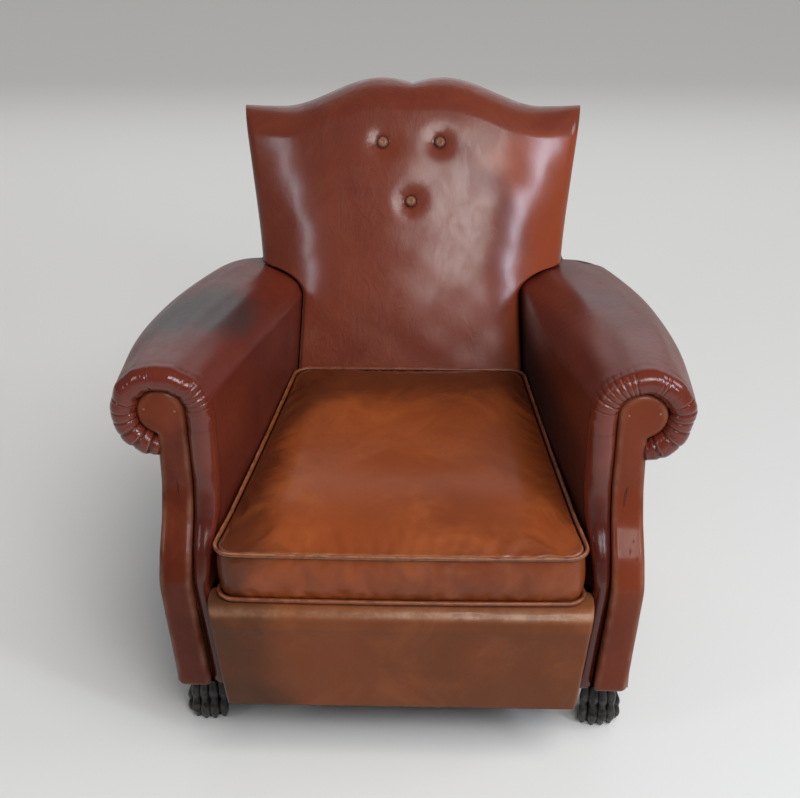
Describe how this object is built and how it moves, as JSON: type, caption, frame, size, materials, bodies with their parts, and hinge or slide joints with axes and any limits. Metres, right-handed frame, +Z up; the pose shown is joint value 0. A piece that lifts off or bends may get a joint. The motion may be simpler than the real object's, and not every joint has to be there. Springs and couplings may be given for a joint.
{
  "type": "club chair",
  "caption": "Leather club chair with a moustache back, rolled arms with pleated fronts, loose seat cushion and carved paw front feet.",
  "frame": {"origin": "on the floor, in the middle of the chair's plan", "axes": "+X to the sitter's left, seen from the front to the right; +Y from the front to the back; +Z up"},
  "size_m": [0.8566, 0.8505, 0.8715],
  "materials": {
    "beech": "plain sawn hardwood",
    "dark_wood": "almost black polished hardwood",
    "jute": "coarse jute cloth and webbing",
    "spring_steel": "copper-washed spring wire",
    "padding": "fibre padding under calico",
    "platform_cloth": "dark brown platform cloth",
    "black_cloth": "thin black lining cloth",
    "tack_steel": "blued steel",
    "back_leather": "aged glossy red-brown leather",
    "arm_leather": "aged leather, darkened on the arm tops",
    "facing_leather": "aged glossy red-brown leather with small scuffs",
    "border_leather": "mottled red and olive brown leather",
    "cushion_leather": "cognac leather with a mottled dark middle",
    "piping_leather": "tan piping, worn pale"
  },
  "bodies": {
    "chair": {"front_seat_rail": "beech", "rear_seat_rail": "beech", "side_seat_rail_left": "beech", "side_seat_rail_right": "beech", "arm_front_post_left": "beech", "arm_front_post_right": "beech", "rear_corner_post_left": "beech", "rear_corner_post_right": "beech", "arm_top_rail_left": "beech", "arm_top_rail_right": "beech", "back_upright_left": "beech", "back_upright_right": "beech", "back_cross_rail": "beech", "back_side_rail_left": "beech", "back_side_rail_right": "beech", "back_top_rail": "beech", "corner_blocks": "beech", "frame_dowels": "beech", "foot_dowels": "beech", "front_paw_foot_left": "dark_wood", "front_paw_foot_right": "dark_wood", "rear_foot_left": "dark_wood", "rear_foot_right": "dark_wood", "seat_webbing": "jute", "back_webbing": "jute", "arm_webbing": "jute", "spring_hessian": "jute", "back_hessian": "jute", "arm_hessian_left": "jute", "arm_hessian_right": "jute", "seat_springs": "spring_steel", "seat_stuffing": "padding", "front_border_stuffing": "padding", "back_stuffing": "padding", "arm_stuffing_left": "padding", "arm_stuffing_right": "padding", "seat_platform_cover": "platform_cloth", "dust_cover": "black_cloth", "dust_cover_tacks": "tack_steel", "inside_back_cover": "back_leather", "outside_back_cover": "back_leather", "back_buttons": "back_leather", "back_piping": "back_leather", "arm_cover_left": "arm_leather", "arm_cover_right": "arm_leather", "outside_arm_cover_left": "arm_leather", "outside_arm_cover_right": "arm_leather", "arm_facing_left": "facing_leather", "arm_facing_right": "facing_leather", "pleated_arm_roll_left": "facing_leather", "pleated_arm_roll_right": "facing_leather", "front_border_cover": "border_leather"},
    "seat_cushion": {"cushion_top_cover": "cushion_leather", "cushion_boxing": "cushion_leather", "cushion_bottom_cover": "cushion_leather", "cushion_piping_top": "piping_leather", "cushion_piping_bottom": "piping_leather", "cushion_filling": "padding"}
  },
  "joints": [
    {"name": "cushion_lift", "type": "slide", "parent": "chair", "child": "seat_cushion", "axis": [0, 0, 1], "range_m": [0, 0.6]}
  ]
}
